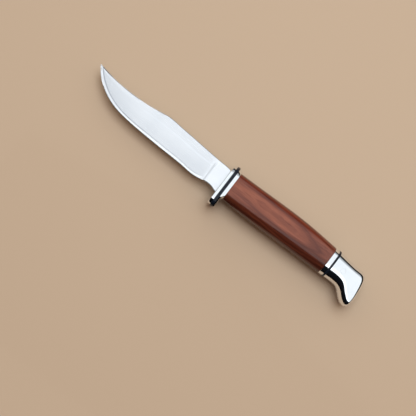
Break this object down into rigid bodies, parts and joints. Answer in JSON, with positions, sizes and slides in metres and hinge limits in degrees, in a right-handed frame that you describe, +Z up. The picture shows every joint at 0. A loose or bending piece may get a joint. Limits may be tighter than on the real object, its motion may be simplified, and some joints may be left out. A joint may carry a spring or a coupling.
{
  "type": "fixed-blade hunting knife",
  "caption": "Small fixed-blade hunting knife: clip-point steel blade, two-plate guard with a black washer, flat-sided wooden handle and bird's-beak metal butt cap.",
  "frame": {"origin": "centre of the bounding box at its bottom, on the surface that the knife lies on", "axes": "+X from the blade's tip towards the butt, +Y from the cutting edge towards the back, +Z up, square to the blade's flat side"},
  "size_m": [0.1976, 0.0278, 0.0168],
  "materials": {
    "blade_steel": "fine satin, ground along the blade",
    "polished_metal": "polished",
    "black_fibre": "smooth vulcanised fibre, low sheen",
    "handle_wood": "laminated rosewood, buffed satin",
    "bedding_resin": "cast resin"
  },
  "bodies": {
    "root": {"blade": "blade_steel", "guard_plate": "polished_metal", "guard_washer": "black_fibre", "guard_collar": "polished_metal", "handle": "handle_wood", "tang_bedding": "bedding_resin", "rear_collar": "polished_metal", "rear_washer": "black_fibre", "butt_cap": "polished_metal", "cap_pin": "polished_metal"}
  },
  "joints": []
}
